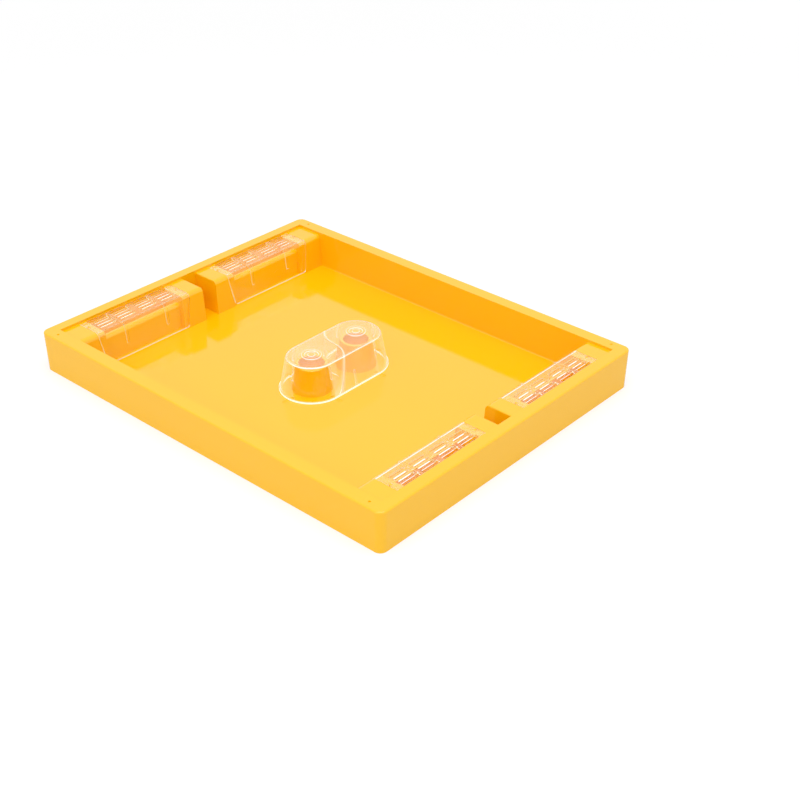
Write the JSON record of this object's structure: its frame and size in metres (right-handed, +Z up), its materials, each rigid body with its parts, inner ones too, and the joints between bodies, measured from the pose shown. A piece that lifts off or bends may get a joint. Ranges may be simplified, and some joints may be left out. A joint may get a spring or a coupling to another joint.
{
  "type": "hive top feeder",
  "caption": "Shallow yellow hive top syrup tray with a weir block at each end corner under clear slotted guards and a clear cover with an S-shaped partition over the centre cones.",
  "frame": {"origin": "middle of the underside, where the feeder rests on the hive body", "axes": "+X along the long side, towards one of the ends that carry the weir blocks; +Y across the tray; +Z up"},
  "size_m": [0.505, 0.405, 0.047],
  "materials": {
    "yellow_plastic": "moulded gloss, a little translucent",
    "clear_plastic": "clear moulded plastic"
  },
  "bodies": {
    "tray": {"tray": "yellow_plastic"},
    "left_front_guard": {"guard_left_front": "clear_plastic"},
    "left_back_guard": {"guard_left_back": "clear_plastic"},
    "right_front_guard": {"guard_right_front": "clear_plastic"},
    "right_back_guard": {"guard_right_back": "clear_plastic"},
    "cover": {"centre_cover": "clear_plastic"}
  },
  "joints": [
    {"name": "left_front_guard_lift", "type": "slide", "parent": "tray", "child": "left_front_guard", "axis": [0, 0, 1], "range_m": [0, 0.06]},
    {"name": "left_back_guard_lift", "type": "slide", "parent": "tray", "child": "left_back_guard", "axis": [0, 0, 1], "range_m": [0, 0.06]},
    {"name": "right_front_guard_lift", "type": "slide", "parent": "tray", "child": "right_front_guard", "axis": [0, 0, 1], "range_m": [0, 0.06]},
    {"name": "right_back_guard_lift", "type": "slide", "parent": "tray", "child": "right_back_guard", "axis": [0, 0, 1], "range_m": [0, 0.06]},
    {"name": "cover_lift", "type": "slide", "parent": "tray", "child": "cover", "axis": [0, 0, 1], "range_m": [0, 0.06]}
  ]
}
